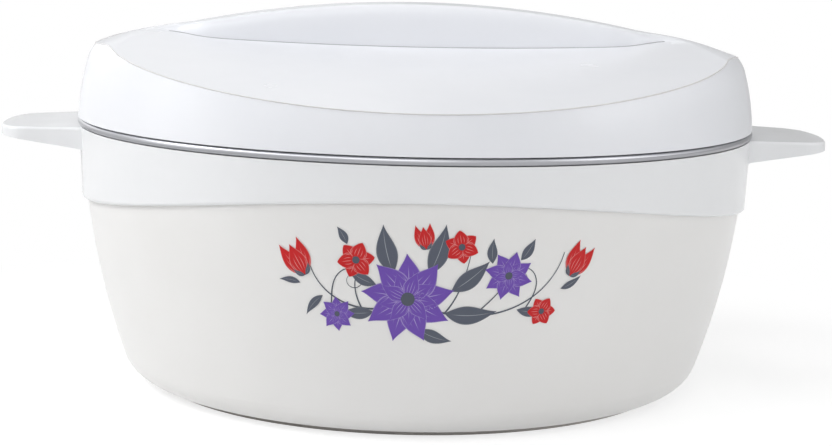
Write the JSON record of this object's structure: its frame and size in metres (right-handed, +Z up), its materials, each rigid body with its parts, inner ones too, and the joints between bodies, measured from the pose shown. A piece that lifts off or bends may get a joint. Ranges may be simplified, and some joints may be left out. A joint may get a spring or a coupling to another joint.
{
  "type": "insulated chapati casserole",
  "caption": "Round insulated serving casserole: foam-filled plastic body with a steel bowl, a collar with two tab handles, and a lift-off foam-filled lid with a ridge handle.",
  "frame": {"origin": "centre of the foot ring's underside, on the surface that the casserole stands on", "axes": "+Z up along the casserole's axis, +X from handle to handle, +Y from front to back"},
  "size_m": [0.3312, 0.27, 0.1514],
  "materials": {
    "lid_plastic": "glossy white moulded polypropylene, faintly cool",
    "collar_plastic": "glossy white moulded polypropylene, faintly cool, as the lid",
    "shell_plastic": "satin ivory-white moulded polypropylene",
    "liner_plastic": "smooth white food-safe polypropylene",
    "base_plastic": "plain matt ivory-white polypropylene",
    "bowl_steel": "satin stainless steel with a bright rolled rim",
    "foam": "cream rigid polyurethane foam, sealed inside"
  },
  "bodies": {
    "casserole": {"inner_bowl": "bowl_steel", "handle_collar": "collar_plastic", "outer_shell": "shell_plastic", "body_insulation": "foam", "base_plate": "base_plastic", "filling_plug": "base_plastic"},
    "lid": {"lid_cover": "lid_plastic", "lid_insulation": "foam", "lid_liner": "liner_plastic"}
  },
  "joints": [
    {"name": "lid_lift", "type": "slide", "parent": "casserole", "child": "lid", "axis": [0, 0, 1], "range_m": [0, 0.12]}
  ]
}
